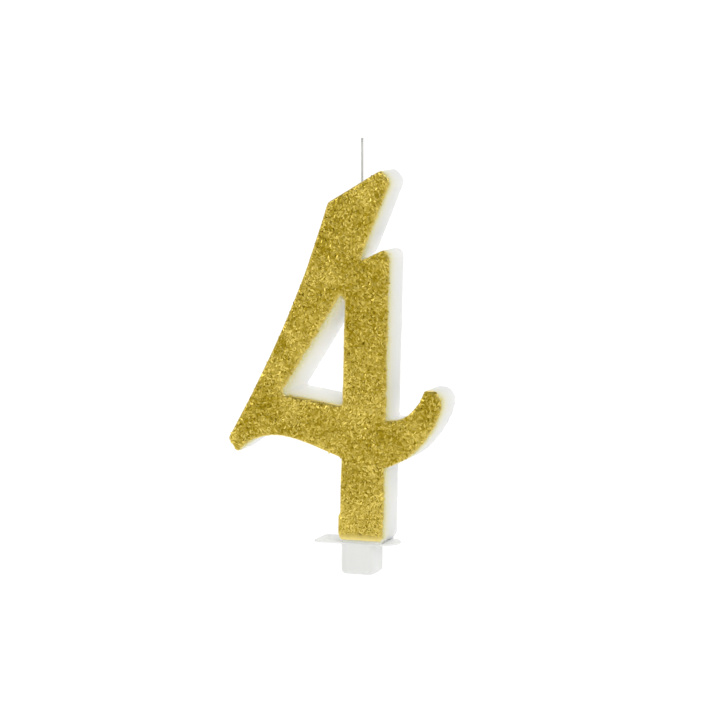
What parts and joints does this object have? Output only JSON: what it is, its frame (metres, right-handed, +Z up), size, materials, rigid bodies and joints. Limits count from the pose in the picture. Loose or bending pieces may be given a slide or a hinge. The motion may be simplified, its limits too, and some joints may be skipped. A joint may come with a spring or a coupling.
{
  "type": "number candle",
  "caption": "Moulded wax cake candle in the form of a figure four, with a glitter face, a wick and a plastic holder with flange and plug.",
  "frame": {"origin": "centre of the plug's flat foot, on the axis that the plug and the wick share", "axes": "+Z up along the wick, -Y out of the glitter face, +X to the right of the figure seen from the front"},
  "size_m": [0.0787, 0.0154, 0.1513],
  "materials": {
    "wax": "poured paraffin wax, satin",
    "gold_glitter": "fine gold film glitter in clear lacquer",
    "wick_cotton": "waxed braided cotton",
    "holder_plastic": "moulded white plastic, satin"
  },
  "bodies": {
    "holder": {"holder": "holder_plastic"},
    "candle": {"wax_body": "wax", "glitter_face": "gold_glitter", "wick": "wick_cotton"}
  },
  "joints": [
    {"name": "candle_lift", "type": "slide", "parent": "holder", "child": "candle", "axis": [0, 0, 1], "range_m": [0, 0.014]}
  ]
}
